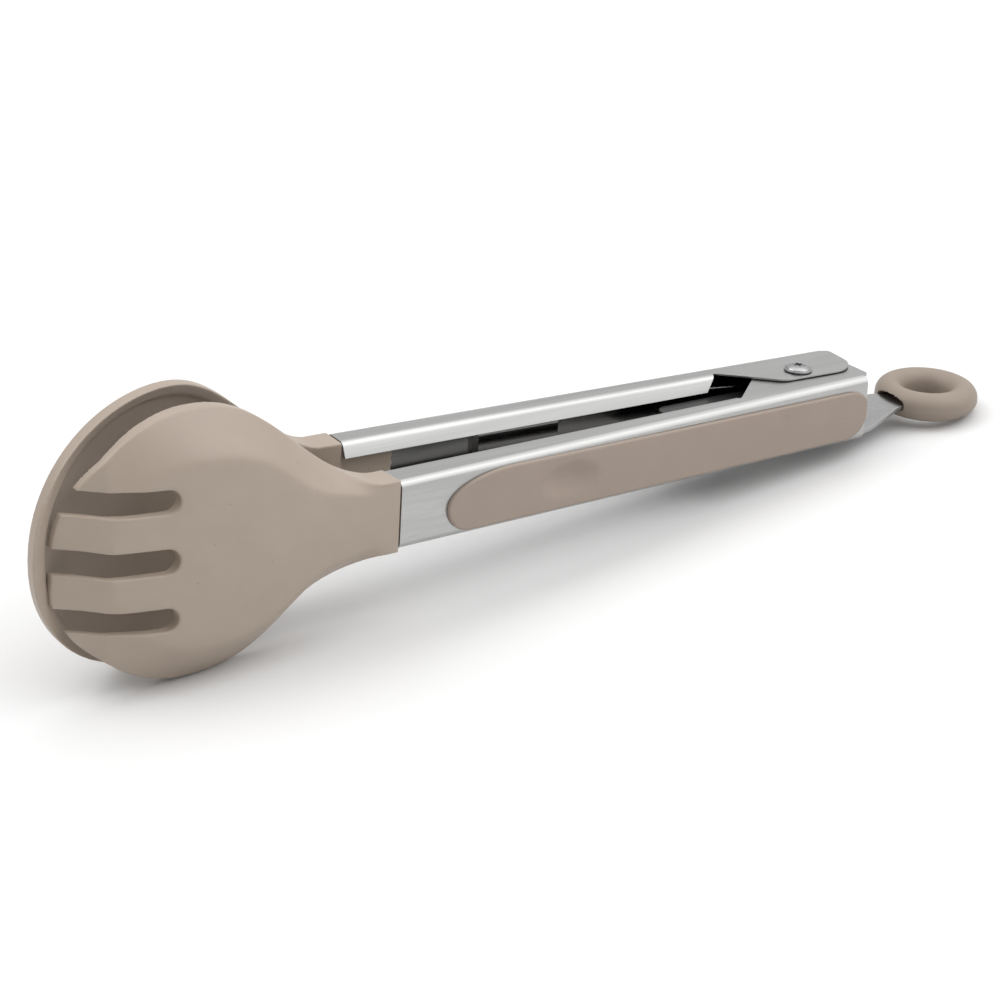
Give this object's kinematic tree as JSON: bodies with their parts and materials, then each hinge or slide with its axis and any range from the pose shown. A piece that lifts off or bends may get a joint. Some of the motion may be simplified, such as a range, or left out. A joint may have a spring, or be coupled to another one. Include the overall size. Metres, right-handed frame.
{
  "type": "kitchen tongs",
  "caption": "Locking kitchen tongs with pressed steel arms on a rivet, a slotted fork head, a spoon head, soft thumb grips, and a ring on a sliding tab that spreads or locks the arms.",
  "frame": {"origin": "centre of the bounding box, with the arms at rest", "axes": "+X along the tongs towards the pull ring, +Y from the front half towards the rear half, +Z along the rivet"},
  "size_m": [0.2834, 0.0371, 0.068],
  "materials": {
    "arm_steel": "stainless, brushed along its length",
    "spring_steel": "drawn wire, bright",
    "taupe_nylon": "moulded, satin",
    "grip_rubber": "soft, matt",
    "black_nylon": "moulded, matt"
  },
  "bodies": {
    "pivot": {"pivot_rivet": "arm_steel", "spring_housing": "black_nylon", "torsion_spring": "spring_steel"},
    "front_half": {"front_arm": "arm_steel", "fork_head": "taupe_nylon", "front_grip": "grip_rubber"},
    "rear_half": {"rear_arm": "arm_steel", "spoon_head": "taupe_nylon", "rear_grip": "grip_rubber"},
    "tab": {"pull_tab": "arm_steel", "pull_ring": "taupe_nylon"}
  },
  "joints": [
    {"name": "front_arm_hinge", "type": "hinge", "parent": "pivot", "child": "front_half", "pos_m": [0.08198, 0, 0], "axis": [0, 0, 1], "range_deg": [0, 12], "deforming": ["torsion_spring"]},
    {"name": "rear_arm_hinge", "type": "hinge", "parent": "pivot", "child": "rear_half", "pos_m": [0.08198, 0, 0], "axis": [0, 0, -1], "range_deg": [0, 12]},
    {"name": "tab_slide", "type": "slide", "parent": "pivot", "child": "tab", "axis": [-1, 0, 0], "range_m": [0, 0.012]}
  ],
  "couplings": [
    {"joint": "rear_arm_hinge", "follows": "front_arm_hinge", "ratio": 1},
    {"joint": "tab_slide", "follows": "front_arm_hinge", "m_per_rad": 0.057295}
  ]
}
